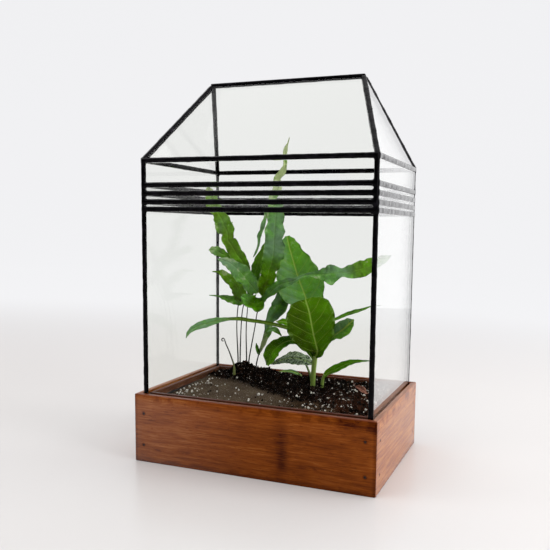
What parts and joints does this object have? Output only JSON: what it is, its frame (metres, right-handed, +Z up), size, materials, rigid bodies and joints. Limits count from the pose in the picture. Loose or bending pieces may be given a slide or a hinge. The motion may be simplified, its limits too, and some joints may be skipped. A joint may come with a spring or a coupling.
{
  "type": "glass plant terrarium",
  "caption": "House-shaped glass terrarium with dark soldered seams, standing in a grooved bamboo box of soil planted with a fern and a broad-leaved plant.",
  "frame": {"origin": "middle of the box's underside, on the surface it stands on", "axes": "+Z up, the long front faces -Y, +X to the right seen from the front"},
  "size_m": [0.2286, 0.1524, 0.3507],
  "materials": {
    "bamboo": "brown-stained bamboo, satin varnish",
    "liner": "black waterproof liner",
    "glass": "clear window glass",
    "solder": "solder with a glossy black patina",
    "soil": "moist crumbly potting soil with white perlite",
    "fern_leaf": "blue-green fern frond, soft sheen",
    "broad_leaf": "bright green leaf, satin",
    "grey_leaf": "grey-green leaf with dark speckles"
  },
  "bodies": {
    "root": {"box_wall_front": "bamboo", "box_wall_right": "bamboo", "box_wall_back": "bamboo", "box_wall_left": "bamboo", "box_floor": "bamboo", "liner_tray": "liner", "solder_front": "solder", "glass_front_main": "glass", "glass_front_strip_1": "glass", "glass_front_strip_2": "glass", "glass_front_strip_3": "glass", "glass_front_top": "glass", "glass_roof_front": "glass", "solder_right": "solder", "glass_right_main": "glass", "glass_right_strip_1": "glass", "glass_right_strip_2": "glass", "glass_right_strip_3": "glass", "glass_right_top": "glass", "glass_roof_right": "glass", "solder_back": "solder", "glass_back_main": "glass", "glass_back_strip_1": "glass", "glass_back_strip_2": "glass", "glass_back_strip_3": "glass", "glass_back_top": "glass", "glass_roof_back": "glass", "solder_left": "solder", "glass_left_main": "glass", "glass_left_strip_1": "glass", "glass_left_strip_2": "glass", "glass_left_strip_3": "glass", "glass_left_top": "glass", "glass_roof_left": "glass", "solder_ridge": "solder", "solder_hip_front_left": "solder", "solder_hip_front_right": "solder", "solder_hip_back_left": "solder", "solder_hip_back_right": "solder", "fern_frond_main": "fern_leaf", "fern_frond_tall_left": "fern_leaf", "fern_frond_low_left": "fern_leaf", "fern_frond_behind": "fern_leaf", "fern_frond_small": "fern_leaf", "fern_young_frond": "fern_leaf", "leafy_stem": "broad_leaf", "leaf_low_right": "broad_leaf", "leaf_at_back": "broad_leaf", "leaf_speckled": "grey_leaf", "soil": "soil"}
  },
  "joints": []
}
